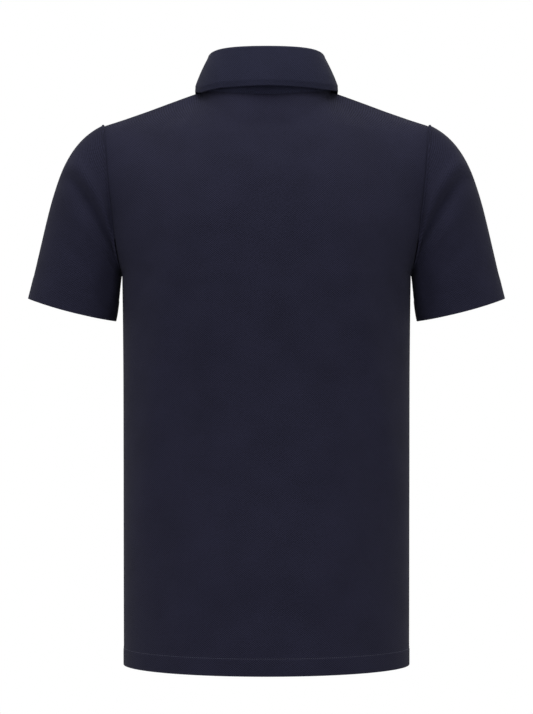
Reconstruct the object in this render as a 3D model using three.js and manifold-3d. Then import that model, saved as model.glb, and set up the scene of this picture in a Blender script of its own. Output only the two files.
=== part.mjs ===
// A short-sleeved polo shirt in the shape it has when worn, with nobody in it.
// Millimetres, +Z up, front towards -Y, the wearer's left towards +X.
// The origin is between the two points where the shoulder seams meet the neckline.
import * as THREE from "three";
import { mergeVertices } from "three/addons/utils/BufferGeometryUtils.js";
import Module from "manifold-3d";

const wasm = await Module();
wasm.setup();

// ---- Driving sizes -------------------------------------------------------
const CLOTH = 1.4; // wall of the body and sleeves
const COLLAR_CLOTH = 1.6; // wall of the collar and placket, which are two layers
const GAP = 0.3; // between pieces at a seam
const SHOULDER = { x: 201, z: -42.5 }; // where shoulder seam and sleeve meet
const UNDERARM = { x: 177.5, z: -225 };
const HEM_Z = -705;
const ARMHOLE_DEPTH = 49; // half the armhole's size from front to back
const ARMHOLE_LEAN = 0.75; // how late the armhole turns in towards the underarm
const NECK = { halfWidth: 78, sideZ: 2, sideY: -4 };
const NECK_SHARE = 0.36; // share of a half panel's columns that end on the neckline
const CUFF = { x: 240.4, y: -10, z: -268.7, across: 54.8, deep: 50, tilt: 0.2526, sag: 3 };
const PLACKET = { half: 16, footRow: 3, lap: 1.5, bandFoot: 9 }; // footRow counts rows above underarm level
const BUTTON = { radius: 5.6, thick: 2.4, hole: 0.9, holeAt: 1.7 };

// Torso sections from hem to underarm: height, half width, depth behind and in front, roundness.
const SECTIONS = [
  { z: -705, half: 175.7, back: 126, front: 124, round: 2.0 },
  { z: -600, half: 175.9, back: 124, front: 125, round: 2.05 },
  { z: -480, half: 176.0, back: 116, front: 126, round: 2.15 },
  { z: -360, half: 176.2, back: 114, front: 124, round: 2.25 },
  { z: -280, half: 176.8, back: 117, front: 124, round: 2.35 },
  { z: -225, half: 177.5, back: 119, front: 123, round: 2.45 },
];
// Centre lines from underarm level to neckline: share of the way up, height, depth, roundness.
const BACK_RISE = [
  { share: 0, z: -225, depth: 119, round: 2.45 },
  { share: 0.25, z: -172, depth: 118, round: 2.45 },
  { share: 0.5, z: -118, depth: 111, round: 2.4 },
  { share: 0.75, z: -60, depth: 92, round: 2.3 },
  { share: 1, z: -7, depth: 62, round: 2.0 },
];
const FRONT_RISE = [
  { share: 0, z: -225, depth: 123, round: 2.45 },
  { share: 0.25, z: -190, depth: 120, round: 2.4 },
  { share: 0.5, z: -152, depth: 113, round: 2.35 },
  { share: 0.75, z: -111, depth: 98, round: 2.2 },
  { share: 1, z: -72, depth: 80, round: 2.0 },
];
// Largest soft folds of a panel: from and to (x, height), half width, height of the ridge.
const BACK_FOLDS = [
  { x0: 112, z0: -165, x1: 150, z1: -560, half: 20, rise: 4.4 },
  { x0: 66, z0: -185, x1: 84, z1: -400, half: 15, rise: 3.0 },
  { x0: -94, z0: -150, x1: -162, z1: -520, half: 18, rise: 4.4 },
  { x0: -96, z0: -400, x1: -108, z1: -610, half: 22, rise: 2.2 },
  { x0: -30, z0: -330, x1: 20, z1: -520, half: 34, rise: -2.0 },
];
const FRONT_FOLDS = [
  { x0: 128, z0: -190, x1: 92, z1: -430, half: 20, rise: 3.2 },
  { x0: -126, z0: -200, x1: -100, z1: -470, half: 22, rise: 3.0 },
  { x0: 60, z0: -360, x1: 84, z1: -640, half: 22, rise: 2.2 },
  { x0: -40, z0: -300, x1: -62, z1: -600, half: 26, rise: -2.2 },
];
// Collar round the neck from centre back (0) to centre front (1): stand foot to fold, then leaf edge.
const FOLD = { backY: 55, backZ: 43.5, sideX: 66.5, sideY: -6, sideZ: 38.5, frontY: -86, frontZ: -40 };
const LEAF = [
  { share: 0, x: 0, y: 73, z: 0.5 },
  { share: 0.25, x: 55, y: 52, z: -0.5 },
  { share: 0.4, x: 81, y: 23, z: -3 },
  { share: 0.5, x: 88.5, y: -3, z: 0.5 },
  { share: 0.7, x: 87, y: -45, z: -39 },
  { share: 0.86, x: 70, y: -82, z: -88 },
  { share: 1, x: 47, y: -105, z: -122 },
];
const LEAF_START = 0.035; // the leaf's front end stops short of centre front
const ROLL = 2.9; // radius of the fold

// ---- Small helpers -------------------------------------------------------
const V = (x, y, z) => new THREE.Vector3(x, y, z);
const mix = (a, b, t) => a + (b - a) * t;
const clamp = (x, a = 0, b = 1) => Math.min(b, Math.max(a, x));
const ease = (t) => clamp(t) ** 2 * (3 - 2 * clamp(t));
const power = (x, p) => Math.sign(x) * Math.abs(x) ** p;

// A smooth curve through a table's rows, without overshoot (Fritsch-Carlson).
function follow(table, key, value, at, startsLevel = false) {
  const x = table.map((r) => r[key]);
  const y = table.map((r) => r[value]);
  const slope = x.slice(1).map((b, i) => (y[i + 1] - y[i]) / (b - x[i]));
  const tangent = x.map((_, i) => {
    if (i === 0) return startsLevel ? 0 : slope[0];
    if (i === x.length - 1) return slope[i - 1];
    const a = slope[i - 1];
    const b = slope[i];
    return a * b <= 0 ? 0 : (2 * a * b) / (a + b);
  });
  let i = 0;
  while (i < x.length - 2 && at > x[i + 1]) i += 1;
  const h = x[i + 1] - x[i];
  const t = clamp((at - x[i]) / h);
  return (
    y[i] * (1 + 2 * t) * (1 - t) ** 2 +
    y[i + 1] * t * t * (3 - 2 * t) +
    h * t * (1 - t) * (tangent[i] * (1 - t) - tangent[i + 1] * t)
  );
}

// ---- The body's surface --------------------------------------------------
// side is 1 for the back and -1 for the front. u runs from the wearer's right seam (-1) to the left (1).
// t runs from the hem (0) through underarm level (1) to shoulder seam and neckline (2).
function armhole(angle, side) {
  const h = (1 + Math.cos(angle)) / 2;
  const inward = side < 0 ? 7 * Math.sin(angle) ** 2 : 0; // a front armhole is cut further in
  return V(
    mix(UNDERARM.x, SHOULDER.x, h ** ARMHOLE_LEAN) - inward,
    side * ARMHOLE_DEPTH * Math.sin(angle),
    mix(UNDERARM.z, SHOULDER.z, h),
  );
}

function arc(u, half, depth, round, side) {
  const a = (u * Math.PI) / 2;
  return [half * power(Math.sin(a), 2 / round), side * depth * Math.max(0, Math.cos(a)) ** (2 / round)];
}

function neckline(share, side) {
  const a = (share * Math.PI) / 2; // 0 at the centre, 1 at the shoulder seam
  const rise = side > 0 ? BACK_RISE : FRONT_RISE;
  const { depth, z } = rise[rise.length - 1];
  const bend = side > 0 ? 2 : 1.5;
  return V(
    NECK.halfWidth * Math.sin(a),
    NECK.sideY + (side * depth - NECK.sideY) * Math.cos(a),
    NECK.sideZ + (z - NECK.sideZ) * Math.cos(a) ** bend,
  );
}

function topEdge(u, side) {
  const s = Math.abs(u);
  if (s <= NECK_SHARE) return neckline(s / NECK_SHARE, side).multiply(V(Math.sign(u) || 1, 1, 1));
  const k = (s - NECK_SHARE) / (1 - NECK_SHARE);
  const drop = mix(k, ease(k), 0.05);
  return V(
    Math.sign(u) * mix(NECK.halfWidth, SHOULDER.x, k),
    mix(NECK.sideY, 0, k),
    mix(NECK.sideZ, SHOULDER.z, drop),
  );
}

function upperArc(u, t, side) {
  const rise = side > 0 ? BACK_RISE : FRONT_RISE;
  const share = t - 1;
  const edge = armhole(Math.PI * (1 - share), side);
  const depth = follow(rise, "share", "depth", share);
  const round = follow(rise, "share", "round", share);
  const end = Math.acos(clamp((side * edge.y) / depth) ** (round / 2));
  const a = u * end;
  const wide = edge.x / Math.sin(end) ** (2 / round);
  return V(
    wide * power(Math.sin(a), 2 / round),
    side * depth * Math.cos(a) ** (2 / round),
    mix(follow(rise, "share", "z", share), edge.z, Math.abs(u) ** 2.2),
  );
}

function foldRise(p, folds) {
  let rise = 0;
  for (const f of folds) {
    const dx = f.x1 - f.x0;
    const dz = f.z1 - f.z0;
    const k = ((p.x - f.x0) * dx + (p.z - f.z0) * dz) / (dx * dx + dz * dz);
    const off = Math.abs((p.x - f.x0) * dz - (p.z - f.z0) * dx) / Math.hypot(dx, dz);
    if (k > 0 && k < 1) rise += f.rise * Math.sin(Math.PI * k) ** 0.8 * Math.exp(-((off / f.half) ** 2));
  }
  return rise;
}

function smooth(u, t, side) {
  if (t <= 1) {
    const z = mix(HEM_Z, UNDERARM.z, t);
    const at = (name) => follow(SECTIONS, "z", name, z);
    const [x, y] = arc(u, at("half"), at(side > 0 ? "back" : "front"), at("round"), side);
    return V(x, y, z);
  }
  const pull = (t - 1) ** 2.6;
  const top = topEdge(u, side).sub(upperArc(u, 2, side));
  return upperArc(u, t, side).addScaledVector(top, pull);
}

function body(u, t, side) {
  const p = smooth(u, t, side);
  const fade = ease((1 - Math.abs(u)) / 0.12) * ease((2 - t) / 0.3);
  const rise = foldRise(p, side > 0 ? BACK_FOLDS : FRONT_FOLDS) * fade;
  return p.addScaledVector(V(p.x / 240, side, 0).normalize(), rise);
}

// The u at which a row of the front crosses a given x.
function uAt(x, t, side) {
  let low = 0;
  let high = 1;
  for (let i = 0; i < 40; i += 1) {
    const middle = (low + high) / 2;
    if (smooth(middle, t, side).x < Math.abs(x)) low = middle;
    else high = middle;
  }
  return (Math.sign(x) * (low + high)) / 2;
}

// ---- Walls from grids of points -----------------------------------------
// rows[i][j] is a point of the outer face. Cells can be left out. A closed grid joins its last column to its first.
// outward says on which side of the surface the face lies: 1 or -1.
function wall(rows, thick, outward, { skip = () => false, closed = false, lift = 0, mitre = () => {} } = {}) {
  const m = rows.length;
  const n = rows[0].length;
  const columns = closed ? n : n - 1;
  const at = (i, j) => rows[clamp(i, 0, m - 1)][closed ? (j + n) % n : clamp(j, 0, n - 1)];
  const normal = (i, j) => {
    const along = at(i, j + 1).clone().sub(at(i, j - 1));
    const up = at(i + 1, j).clone().sub(at(i - 1, j));
    const out = along.cross(up).normalize().multiplyScalar(outward);
    mitre(i, j, out);
    return out;
  };
  const points = [];
  for (const depth of [lift, lift - thick])
    for (let i = 0; i < m; i += 1)
      for (let j = 0; j < n; j += 1) points.push(at(i, j).clone().addScaledVector(normal(i, j), depth));
  const id = (layer, i, j) => layer * m * n + i * n + (j % n);
  const faces = [];
  const quad = (a, b, c, d) => faces.push(outward > 0 ? [a, b, c, a, c, d] : [a, c, b, a, d, c]);
  const kept = (i, j) => {
    if (i < 0 || i >= m - 1) return false;
    if (!closed && (j < 0 || j >= columns)) return false;
    return !skip(i, (j + columns) % columns);
  };
  for (let i = 0; i < m - 1; i += 1)
    for (let j = 0; j < columns; j += 1) {
      if (!kept(i, j)) continue;
      quad(id(0, i, j), id(0, i, j + 1), id(0, i + 1, j + 1), id(0, i + 1, j));
      quad(id(1, i, j), id(1, i + 1, j), id(1, i + 1, j + 1), id(1, i, j + 1));
      if (!kept(i - 1, j)) quad(id(1, i, j), id(1, i, j + 1), id(0, i, j + 1), id(0, i, j));
      if (!kept(i + 1, j)) quad(id(0, i + 1, j), id(0, i + 1, j + 1), id(1, i + 1, j + 1), id(1, i + 1, j));
      if (!kept(i, j - 1)) quad(id(0, i, j), id(0, i + 1, j), id(1, i + 1, j), id(1, i, j));
      if (!kept(i, j + 1)) quad(id(1, i, j + 1), id(1, i + 1, j + 1), id(0, i + 1, j + 1), id(0, i, j + 1));
    }
  const geometry = new THREE.BufferGeometry();
  geometry.setAttribute("position", new THREE.Float32BufferAttribute(points.flatMap((p) => p.toArray()), 3));
  geometry.setIndex(faces.flat());
  geometry.computeVertexNormals();
  return geometry;
}

const span = (from, to, count) => Array.from({ length: count + 1 }, (_, i) => mix(from, to, i / count));

// ---- Materials -----------------------------------------------------------
const cloth = (color) => new THREE.MeshStandardMaterial({ color, roughness: 0.9, metalness: 0 });
const JERSEY = cloth(0x21212e);
const COLLAR_JERSEY = cloth(0x282a3a);
const BUTTON_RESIN = new THREE.MeshStandardMaterial({ color: 0x1a1b28, roughness: 0.35, metalness: 0 });

const shirt = new THREE.Group();
function add(name, geometry, material) {
  const mesh = new THREE.Mesh(geometry, material);
  mesh.name = name;
  shirt.add(mesh);
  return mesh;
}

// ---- Body panels ---------------------------------------------------------
const LOWER_ROWS = span(0, 1, 11);
const RISE_ROWS = 11;
const UPPER_ROWS = span(1, 2, RISE_ROWS).slice(1);
const SIDE_INSET = 0.0012; // half the seam gap at the side, as a share of a half panel
const TOP_INSET = 0.0015;
const panelRows = [...LOWER_ROWS, ...UPPER_ROWS].map((t) => Math.min(t, 2 - TOP_INSET));
// Along the shoulder seam the two walls meet on the plane between them.
const shoulderMitre = (grid) => (i, j, out) => {
  if (i === grid.length - 1 && Math.abs(grid[i][j].x) > NECK.halfWidth) out.setY(0).normalize();
};

function backPanel() {
  const columns = span(-1, 1, 24).map((u) => u * (1 - SIDE_INSET));
  const grid = panelRows.map((t) => columns.map((u) => body(u, t, 1)));
  return wall(grid, CLOTH, -1, { mitre: shoulderMitre(grid) });
}

// The front has a notch for the placket, from the neckline down.
const notchFoot = 1 + PLACKET.footRow / RISE_ROWS;
function frontPanel() {
  const half = PLACKET.half + GAP;
  const grid = panelRows.map((t) => {
    const inner = uAt(half, t, -1);
    const left = span(inner, 1 - SIDE_INSET, 11);
    return [...left.map((u) => -u).reverse(), ...left].map((u) => body(u, t, -1));
  });
  const middle = 11;
  const skip = (i, j) => j === middle && panelRows[i] >= notchFoot - 1e-6;
  return wall(grid, CLOTH, 1, { skip, mitre: shoulderMitre(grid) });
}

add("back_panel", backPanel(), JERSEY);
add("front_panel", frontPanel(), JERSEY);

// ---- Placket -------------------------------------------------------------
function band(half, foot, top, lift, thick) {
  const rows = span(foot, top, 8);
  const grid = rows.map((t) => span(-half, half, 3).map((x) => body(uAt(x, t, -1) || 0, t, -1)));
  return wall(grid, thick, 1, { lift });
}
const shareAt = (z) => 1 + follow(FRONT_RISE.map((r) => ({ z: r.z, share: r.share })), "z", "share", z);
const bandTop = 1.97; // just under the collar stand
const notchHeight = smooth(0, notchFoot, -1).z;
const bandFoot = shareAt(notchHeight - PLACKET.bandFoot);
add("placket_under", band(PLACKET.half - GAP, notchFoot + 0.006, bandTop, -0.1, CLOTH), JERSEY);
const TOP_LIFT = COLLAR_CLOTH + GAP + 0.15;
add("placket_top", band(PLACKET.half + PLACKET.lap, bandFoot, bandTop, TOP_LIFT, COLLAR_CLOTH), JERSEY);

// ---- Sleeves -------------------------------------------------------------
// A generator runs from the armhole to the cuff as a Bezier curve. Its start and its two handles
// follow from how far round the armhole it is: top (1), back or front (0), underarm (-1).
const HANDLES = {
  start: { top: 64, side: 46, under: 14 },
  end: { top: 118, side: 62, under: 16 },
  outX: { top: 0.88, side: 0.8, under: 0.16 },
  outZ: { top: -0.42, side: -0.5, under: -0.98 },
};
const round3 = (h, c) => h.side + ((h.top - h.under) / 2) * c + ((h.top + h.under) / 2 - h.side) * c * c;
const SLEEVE_FOLD = [
  { k: 0.075, slant: -0.69, half: 0.065, rise: 5.0 },
  { k: 0.195, slant: -0.69, half: 0.065, rise: -5.0 },
];

function sleevePoint(angle, k, hand) {
  // angle 0 at the top, growing over the back to the underarm (pi) and on round the front
  const side = Math.sin(angle) >= 0 ? 1 : -1;
  const c = Math.cos(angle);
  const from = armhole(Math.acos(c), side);
  from.x += GAP + 0.3 + 1.5 * ((1 - c) / 2) ** 2;
  const [sin, cos] = [Math.sin(CUFF.tilt), Math.cos(CUFF.tilt)];
  const across = CUFF.across * c;
  const to = V(CUFF.x + across * cos, CUFF.y + CUFF.deep * Math.sin(angle), CUFF.z + across * sin);
  to.z -= CUFF.sag * Math.sin(angle) ** 2;
  const s = Math.sin(angle) * 0.12;
  const d0 = V(round3(HANDLES.outX, c), s, round3(HANDLES.outZ, c)).normalize();
  const d1 = V(sin, 0, -cos);
  const a = from.clone().addScaledVector(d0, round3(HANDLES.start, c));
  const b = to.clone().addScaledVector(d1, -round3(HANDLES.end, c));
  const w = 1 - k;
  const p = from.multiplyScalar(w ** 3);
  p.addScaledVector(a, 3 * w * w * k);
  p.addScaledVector(b, 3 * w * k * k);
  p.addScaledVector(to, k ** 3);
  // the drag fold runs from the underarm seam up and out to the outer arm
  const turned = 0.5 - Math.acos(clamp(c, -1, 1)) / Math.PI;
  const reach = Math.abs(Math.sin(angle)) ** 0.9;
  let rise = 0;
  for (const f of SLEEVE_FOLD) rise += f.rise * Math.exp(-(((k - f.k + f.slant * turned) / f.half) ** 2));
  p.y += side * rise * reach * ease(k / 0.06) * ease((1 - k) / 0.3);
  p.x *= hand;
  return p;
}

function sleeve(hand) {
  const around = 2 * RISE_ROWS; // its seam points fall beside the panels' rows
  const along = span(0, 1, 10);
  const grid = along.map((k) =>
    Array.from({ length: around }, (_, i) => sleevePoint((2 * Math.PI * i) / around, k, hand)),
  );
  return wall(grid, CLOTH, hand, { closed: true });
}
add("sleeve_left", sleeve(1), JERSEY);
add("sleeve_right", sleeve(-1), JERSEY);

// ---- Collar --------------------------------------------------------------
// share runs from centre back (0) to centre front (1).
function footAt(share) {
  return share <= 0.5 ? neckline(share * 2, 1) : neckline(2 - share * 2, -1);
}
function foldAt(share) {
  const a = share * Math.PI;
  const back = share <= 0.5;
  const lift = Math.abs(Math.cos(a));
  const endY = back ? FOLD.backY : FOLD.frontY;
  const endZ = back ? FOLD.backZ : FOLD.frontZ;
  return V(
    FOLD.sideX * Math.sin(a) ** 0.92,
    mix(FOLD.sideY, endY, lift),
    mix(FOLD.sideZ, endZ, back ? 1 - (1 - lift) ** 2 : lift ** 1.3),
  );
}
const mirrored = (p, hand) => V(p.x * hand, p.y, p.z);

// The stand runs once round the neck. Its left end laps over its right end at centre front.
function stand() {
  const lap = 0.022;
  const steps = span(-1 - lap, 1 + lap, 44);
  const layer = COLLAR_CLOTH + GAP + 0.2;
  const grid = [0, 1, 2, 3].map((row) =>
    steps.map((s) => {
      const beyond = Math.abs(s) > 1 ? Math.sign(s) * (Math.abs(s) - 1) : 0;
      const share = Math.min(1, Math.abs(s));
      const k = row / 3;
      const foot = footAt(share);
      const fold = foldAt(share);
      const p = foot.clone().lerp(fold, mix(0.02, 0.985, k));
      const bulge = Math.sin(Math.PI * k) * 1.5;
      const out = V(p.x / 60, p.y / 70, 0).normalize();
      p.addScaledVector(out, bulge + 0.4 * (1 - k));
      const over = s > 0 ? ease((s - 0.9) / 0.08) * layer : 0;
      const q = mirrored(p, Math.sign(s) || 1);
      q.y -= over;
      q.x -= beyond * 620;
      return q;
    }),
  );
  return wall(grid, COLLAR_CLOTH, 1);
}

function leafEdge(share) {
  const at = (name) => follow(LEAF, "share", name, share, name !== "x");
  return V(at("x"), at("y"), at("z"));
}

function leaf() {
  const last = 1 - LEAF_START;
  const steps = span(-1, 1, 48);
  const rollTurns = 5;
  const fallSteps = 5;
  const grid = [];
  for (let row = 0; row <= rollTurns + fallSteps; row += 1) {
    grid.push(
      steps.map((s) => {
        const share = Math.abs(s);
        const fold = foldAt(share * last);
        const edge = leafEdge(share);
        const out = edge.clone().sub(fold);
        const flat = V(out.x, out.y, 0);
        if (share * last < 0.5) flat.lerp(V(fold.x, fold.y, 0).normalize().multiplyScalar(flat.length()), 0.2);
        flat.normalize();
        const centre = fold.clone().addScaledVector(flat, ROLL * 0.55);
        centre.z += 0.4 + COLLAR_CLOTH;
        let p;
        if (row <= rollTurns) {
          const a = mix(Math.PI * 1.0, Math.PI * 0.02, row / rollTurns);
          p = centre.clone().addScaledVector(flat, ROLL * Math.cos(a));
          p.z += ROLL * Math.sin(a);
        } else {
          const k = (row - rollTurns) / fallSteps;
          const start = centre.clone().addScaledVector(flat, ROLL);
          p = start.lerp(edge, k);
          p.addScaledVector(flat, Math.sin(Math.PI * k) * 1.2);
        }
        return mirrored(p, Math.sign(s) || 1);
      }),
    );
  }
  return wall(grid, COLLAR_CLOTH, -1);
}
add("collar_stand", stand(), COLLAR_JERSEY);
add("collar_leaf", leaf(), COLLAR_JERSEY);

// ---- Buttons -------------------------------------------------------------
function solid(geometry) {
  const bare = geometry.clone();
  bare.deleteAttribute("normal");
  bare.deleteAttribute("uv");
  const merged = mergeVertices(bare, 1e-4);
  return new wasm.Manifold(
    new wasm.Mesh({
      numProp: 3,
      vertProperties: merged.attributes.position.array,
      triVerts: new Uint32Array(merged.index.array),
    }),
  );
}

function buttonGeometry() {
  const { radius, thick, hole, holeAt } = BUTTON;
  const profile = [[0, 0], [radius - 0.5, 0], [radius, 0.6], [radius, thick - 0.4], [radius - 0.6, thick]];
  profile.push([radius - 1.5, thick - 0.7], [0, thick - 0.9]);
  const disc = new THREE.LatheGeometry(profile.map(([r, h]) => new THREE.Vector2(r, h)), 28);
  let made = solid(disc);
  for (let i = 0; i < 4; i += 1) {
    const drill = new THREE.CylinderGeometry(hole, hole, 3 * thick, 10);
    const turn = (Math.PI / 2) * (i + 0.5);
    drill.translate(holeAt * Math.cos(turn), 0, holeAt * Math.sin(turn));
    made = made.subtract(solid(drill));
  }
  const mesh = made.getMesh();
  const geometry = new THREE.BufferGeometry();
  geometry.setAttribute("position", new THREE.BufferAttribute(mesh.vertProperties, 3));
  geometry.setIndex(new THREE.BufferAttribute(mesh.triVerts, 1));
  geometry.computeVertexNormals();
  return geometry;
}

// A button lies flat on the placket's top band, at a height on centre front.
function placeButton(name, point, normal) {
  const button = add(name, buttonGeometry(), BUTTON_RESIN);
  button.quaternion.setFromUnitVectors(V(0, 1, 0), normal);
  button.position.copy(point).addScaledVector(normal, GAP + 0.1);
}
const BUTTON_HEIGHTS = [-106, -150];
BUTTON_HEIGHTS.forEach((z, i) => {
  const t = shareAt(z);
  const p = body(0, t, -1);
  const up = body(0, t + 0.01, -1).sub(p);
  const normal = V(0, -up.z, up.y).normalize();
  placeButton(`button_${i + 1}`, p.addScaledVector(normal, TOP_LIFT + 0.1), normal);
});
{
  const foot = footAt(1);
  const up = foldAt(1).sub(foot);
  const normal = V(0, -up.z, up.y).normalize();
  const middle = foot.clone().addScaledVector(up, 0.42);
  placeButton("button_collar", middle.addScaledVector(normal, COLLAR_CLOTH + GAP + 3.4), normal);
}

export default shirt;
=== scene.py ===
"""A dark navy polo shirt in the shape it has when worn, with nobody in it, seen from behind."""

import math

import bpy
import numpy as np
from mathutils import Matrix, Vector


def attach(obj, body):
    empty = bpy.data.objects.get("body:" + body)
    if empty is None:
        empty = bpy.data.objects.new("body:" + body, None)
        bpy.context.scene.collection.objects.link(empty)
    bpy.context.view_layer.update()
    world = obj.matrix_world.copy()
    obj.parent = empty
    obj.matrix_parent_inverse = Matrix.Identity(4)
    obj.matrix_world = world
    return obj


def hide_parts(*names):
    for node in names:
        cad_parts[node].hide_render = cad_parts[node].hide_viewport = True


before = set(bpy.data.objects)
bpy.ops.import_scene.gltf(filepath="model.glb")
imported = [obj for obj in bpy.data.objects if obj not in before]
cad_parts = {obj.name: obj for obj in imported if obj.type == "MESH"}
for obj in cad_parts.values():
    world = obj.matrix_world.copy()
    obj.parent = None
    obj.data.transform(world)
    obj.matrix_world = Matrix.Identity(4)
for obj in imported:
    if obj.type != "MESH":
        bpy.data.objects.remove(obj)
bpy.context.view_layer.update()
MM = 0.001

# ---- Camera --------------------------------------------------------------
LENS = 126.8
CAMERA_BEHIND = 3.1  # metres from the wearer's middle
CAMERA_HEIGHT = -0.3267

camera_data = bpy.data.cameras.new("camera")
camera_data.lens = LENS
camera_data.clip_end = 50
camera = bpy.data.objects.new("camera", camera_data)
camera.location = (0, CAMERA_BEHIND, CAMERA_HEIGHT)
camera.rotation_euler = (math.radians(90), 0, math.radians(180))
bpy.context.collection.objects.link(camera)
bpy.context.scene.camera = camera

# ---- The shirt's sizes, in millimetres, as the CAD has them ---------------
SHOULDER = (201, -42.5)  # x and z where shoulder seam and sleeve meet
UNDERARM = (177.5, -225)
HEM_Z = -705
ARMHOLE_DEPTH = 49
ARMHOLE_LEAN = 0.75
NECK_HALF = 78
NECK_SIDE = (-4, 2)  # y and z where the shoulder seam meets the neckline
NECK_SHARE = 0.36
CUFF = {"x": 240.4, "y": -10, "z": -268.7, "across": 54.8, "deep": 50, "tilt": 0.2526, "sag": 3}
PLACKET_HALF = 16
PLACKET_FOOT = 3 / 11  # share of the way from underarm level to the neckline
PLACKET_LAP = 1.5
BAND_FOOT = 9
SEAM = 0.3  # gap between two pieces that are sewn together
COLLAR_CLOTH = 1.6  # thickness of the collar and of the placket's top band

# height, half width, depth behind, depth in front, roundness
SECTIONS = [
    (-705, 175.7, 126, 124, 2.0),
    (-600, 175.9, 124, 125, 2.05),
    (-480, 176.0, 116, 126, 2.15),
    (-360, 176.2, 114, 124, 2.25),
    (-280, 176.8, 117, 124, 2.35),
    (-225, 177.5, 119, 123, 2.45),
]
# share of the way up, height, depth, roundness
BACK_RISE = [
    (0, -225, 119, 2.45),
    (0.25, -172, 118, 2.45),
    (0.5, -118, 111, 2.4),
    (0.75, -60, 92, 2.3),
    (1, -7, 62, 2.0),
]
FRONT_RISE = [
    (0, -225, 123, 2.45),
    (0.25, -190, 120, 2.4),
    (0.5, -152, 113, 2.35),
    (0.75, -111, 98, 2.2),
    (1, -72, 80, 2.0),
]
# x and z where a fold starts, x and z where it ends, its half width and how far it stands out
BACK_FOLDS = [
    (112, -165, 150, -560, 20, 4.4),
    (66, -185, 84, -400, 15, 3.0),
    (-94, -150, -162, -520, 18, 4.4),
    (-96, -400, -108, -610, 22, 2.2),
    (-30, -330, 20, -520, 34, -2.0),
]
FRONT_FOLDS = [
    (128, -190, 92, -430, 20, 3.2),
    (-126, -200, -100, -470, 22, 3.0),
    (60, -360, 84, -640, 22, 2.2),
    (-40, -300, -62, -600, 26, -2.2),
]
# Finer folds that only show on the cloth itself
BACK_CREASES = [
    (140, -215, 172, -300, 9, -1.4),
    (-146, -215, -172, -310, 9, -1.4),
    (90, -620, -95, -640, 26, -2.6),
    (30, -560, 60, -690, 14, 1.0),
    (-52, -560, -80, -692, 14, 1.0),
    (132, -470, 120, -660, 12, -1.0),
    (20, -120, 60, -260, 22, -1.0),
    (-28, -130, -60, -280, 22, -1.0),
]
FRONT_CREASES = [
    (146, -215, 172, -300, 9, -1.4),
    (-146, -215, -172, -310, 9, -1.4),
    (20, -205, 40, -420, 16, -1.2),
    (-24, -205, -50, -400, 14, 1.0),
    (-120, -470, -136, -660, 14, 1.0),
    (96, -90, 60, -170, 14, -1.0),
    (-96, -90, -60, -170, 14, -1.0),
]
FOLD = {"backY": 55, "backZ": 43.5, "sideX": 66.5, "sideY": -6, "sideZ": 38.5, "frontY": -86, "frontZ": -40}
# share of the way round from centre back, x, y, z of the leaf's edge
LEAF = [
    (0, 0, 73, 0.5),
    (0.25, 55, 52, -0.5),
    (0.4, 81, 23, -3),
    (0.5, 88.5, -3, 0.5),
    (0.7, 87, -45, -39),
    (0.86, 70, -82, -88),
    (1, 47, -105, -122),
]
LEAF_START = 0.035
ROLL = 2.9

# ---- Sizes that only the fine cloth has, in millimetres -------------------
LOWER_LENGTH = UNDERARM[1] - HEM_Z  # a panel's length from hem to underarm level
UPPER_LENGTH = 200  # and from there to its top
PANEL_WIDTH = 477  # along the cloth, from side seam to side seam
HALF_FRONT = 222  # along the cloth, from the notch to a side seam
SLEEVE_LENGTH = 235
STAND_ROUND = 470  # from end to end
STAND_HEIGHT = 48
LEAF_ROUND = 560  # from point to point, along its edge
LEAF_DROP = 52  # from fold to edge at centre back
BAND_LENGTH = 120
PANEL_INSIDE = 1.15  # how far the inner faces lie inside the surface that the formulas give
SLEEVE_INSIDE = 1.1
UNDER_BAND_CLOTH = 1.4
HEM_FOLD = 0.4  # how much thicker the inside is where a hem is turned
HEM_STITCH = 21.0  # how far each row of stitches is from its edge
CUFF_STITCH = 24.0
BAND_STITCH = 2.4
STAND_STITCH = 6
LEAF_STITCH = 6.0
# how far from an edge the mesh has extra rows, where the cloth rounds off
SEAM_ROWS = (0, 0.15, 0.45, 0.9, 1.5, 2.4, 3.6)
BAND_ROWS = (0, 0.12, 0.35, 0.7, 1.2, 1.8, 2.4, 3.2)
SLEEVE_COLUMNS = 110
WEAVE_COLUMN = 3.0  # how much of the weave one column of a sleeve carries
NOTCH_CELLS = 8


# ---- Small helpers -------------------------------------------------------
def mix(a, b, t):
    return a + (b - a) * t


def clamp(x, a=0.0, b=1.0):
    return min(b, max(a, x))


def ease(t):
    t = clamp(t)
    return t * t * (3 - 2 * t)


def power(x, p):
    return math.copysign(abs(x) ** p, x)


def bisect(curve, value, steps):
    """Where, between 0 and 1, a rising curve reaches a value."""
    low, high = 0.0, 1.0
    for _ in range(steps):
        middle = (low + high) / 2
        if curve(middle) < value:
            low = middle
        else:
            high = middle
    return (low + high) / 2


def follow(table, key, value, at, level=False):
    """A smooth curve through a table's rows, without overshoot."""
    x = [row[key] for row in table]
    y = [row[value] for row in table]
    slope = [(y[i + 1] - y[i]) / (x[i + 1] - x[i]) for i in range(len(x) - 1)]
    tangent = [0 if level else slope[0]]
    for a, b in zip(slope, slope[1:]):
        tangent.append(0 if a * b <= 0 else 2 * a * b / (a + b))
    tangent.append(slope[-1])
    i = 0
    while i < len(x) - 2 and at > x[i + 1]:
        i += 1
    h = x[i + 1] - x[i]
    t = clamp((at - x[i]) / h)
    return (
        y[i] * (1 + 2 * t) * (1 - t) ** 2
        + y[i + 1] * t * t * (3 - 2 * t)
        + h * t * (1 - t) * (tangent[i] * (1 - t) - tangent[i + 1] * t)
    )


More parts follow.
